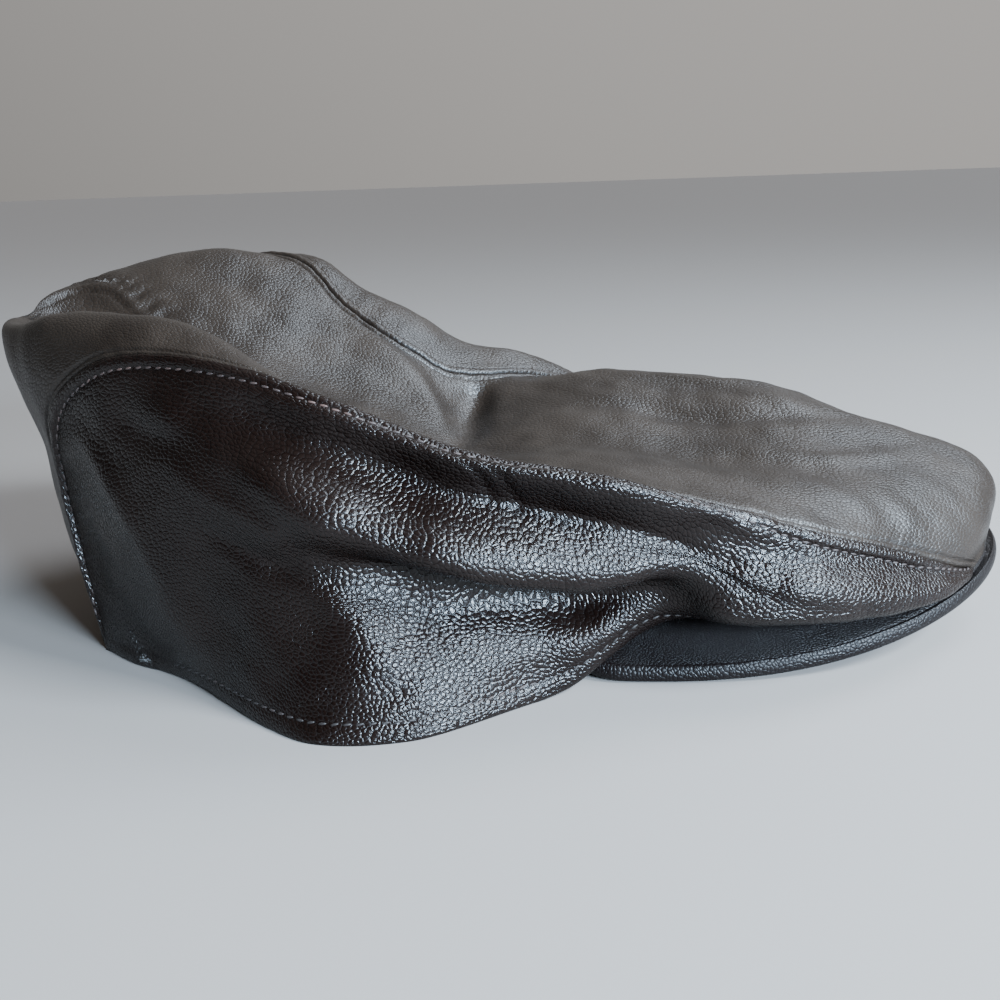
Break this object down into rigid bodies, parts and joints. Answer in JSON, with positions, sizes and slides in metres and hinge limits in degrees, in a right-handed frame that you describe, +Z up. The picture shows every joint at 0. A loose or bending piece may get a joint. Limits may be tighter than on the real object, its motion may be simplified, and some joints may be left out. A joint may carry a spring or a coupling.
{
  "type": "leather flat cap",
  "caption": "Slumped flat cap of dark pebbled leather: a long top panel, a soft side panel on each side and a short stiff peak under the front.",
  "frame": {"origin": "middle of the cap's own box, on the floor that its rim and peak rest on", "axes": "+X to the front of the peak, +Y to the cap's left, +Z up, away from the head"},
  "size_m": [0.285, 0.2068, 0.1016],
  "materials": {
    "top_leather": "semi-gloss pebbled grain, dark brown",
    "right_side_leather": "semi-gloss pebbled grain, very dark brown",
    "left_side_leather": "semi-gloss pebbled grain, very dark brown",
    "peak_leather": "semi-gloss grain over a stiff board, very dark brown"
  },
  "bodies": {
    "root": {"top_panel": "top_leather", "side_panel_right": "right_side_leather", "side_panel_left": "left_side_leather", "peak": "peak_leather"}
  },
  "joints": []
}
